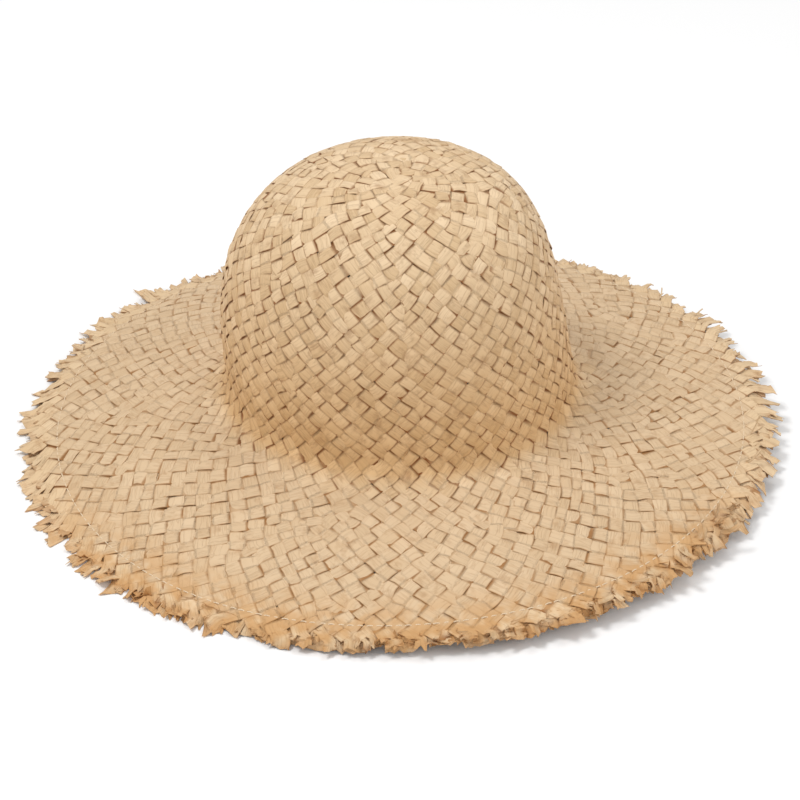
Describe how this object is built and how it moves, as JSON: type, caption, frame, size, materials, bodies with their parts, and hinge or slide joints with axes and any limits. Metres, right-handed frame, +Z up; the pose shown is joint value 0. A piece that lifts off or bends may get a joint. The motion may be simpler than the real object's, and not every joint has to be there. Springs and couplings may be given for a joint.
{
  "type": "straw sun hat",
  "caption": "Wide-brimmed, round-crowned sun hat woven from flat natural straw strips, with a floppy brim that ends in a frayed straw fringe.",
  "frame": {"origin": "the centre of the hat's footprint, on the table that its fringe rests on", "axes": "+Z runs up through the top of the crown, the long axis of the head oval lies along X, and the side seen first faces -Y"},
  "size_m": [0.408, 0.4, 0.1633],
  "materials": {
    "crown_straw": "matte woven straw strips",
    "brim_straw": "matte woven straw strips",
    "frayed_straw": "matte crumpled straw ends",
    "cotton_tape": "matte woven tape",
    "thread": "matte spun thread"
  },
  "bodies": {
    "root": {"crown": "crown_straw", "brim": "brim_straw", "sweatband": "cotton_tape", "size_label": "cotton_tape", "sweatband_thread": "thread", "edge_needle_thread": "thread", "edge_bobbin_thread": "thread", "fringe_01": "frayed_straw", "fringe_02": "frayed_straw", "fringe_03": "frayed_straw", "fringe_04": "frayed_straw", "fringe_05": "frayed_straw", "fringe_06": "frayed_straw", "fringe_07": "frayed_straw", "fringe_08": "frayed_straw", "fringe_09": "frayed_straw", "fringe_10": "frayed_straw", "fringe_11": "frayed_straw", "fringe_12": "frayed_straw", "fringe_13": "frayed_straw", "fringe_14": "frayed_straw", "fringe_15": "frayed_straw", "fringe_16": "frayed_straw", "fringe_17": "frayed_straw", "fringe_18": "frayed_straw", "fringe_19": "frayed_straw", "fringe_20": "frayed_straw", "fringe_21": "frayed_straw", "fringe_22": "frayed_straw", "fringe_23": "frayed_straw", "fringe_24": "frayed_straw"}
  },
  "joints": []
}
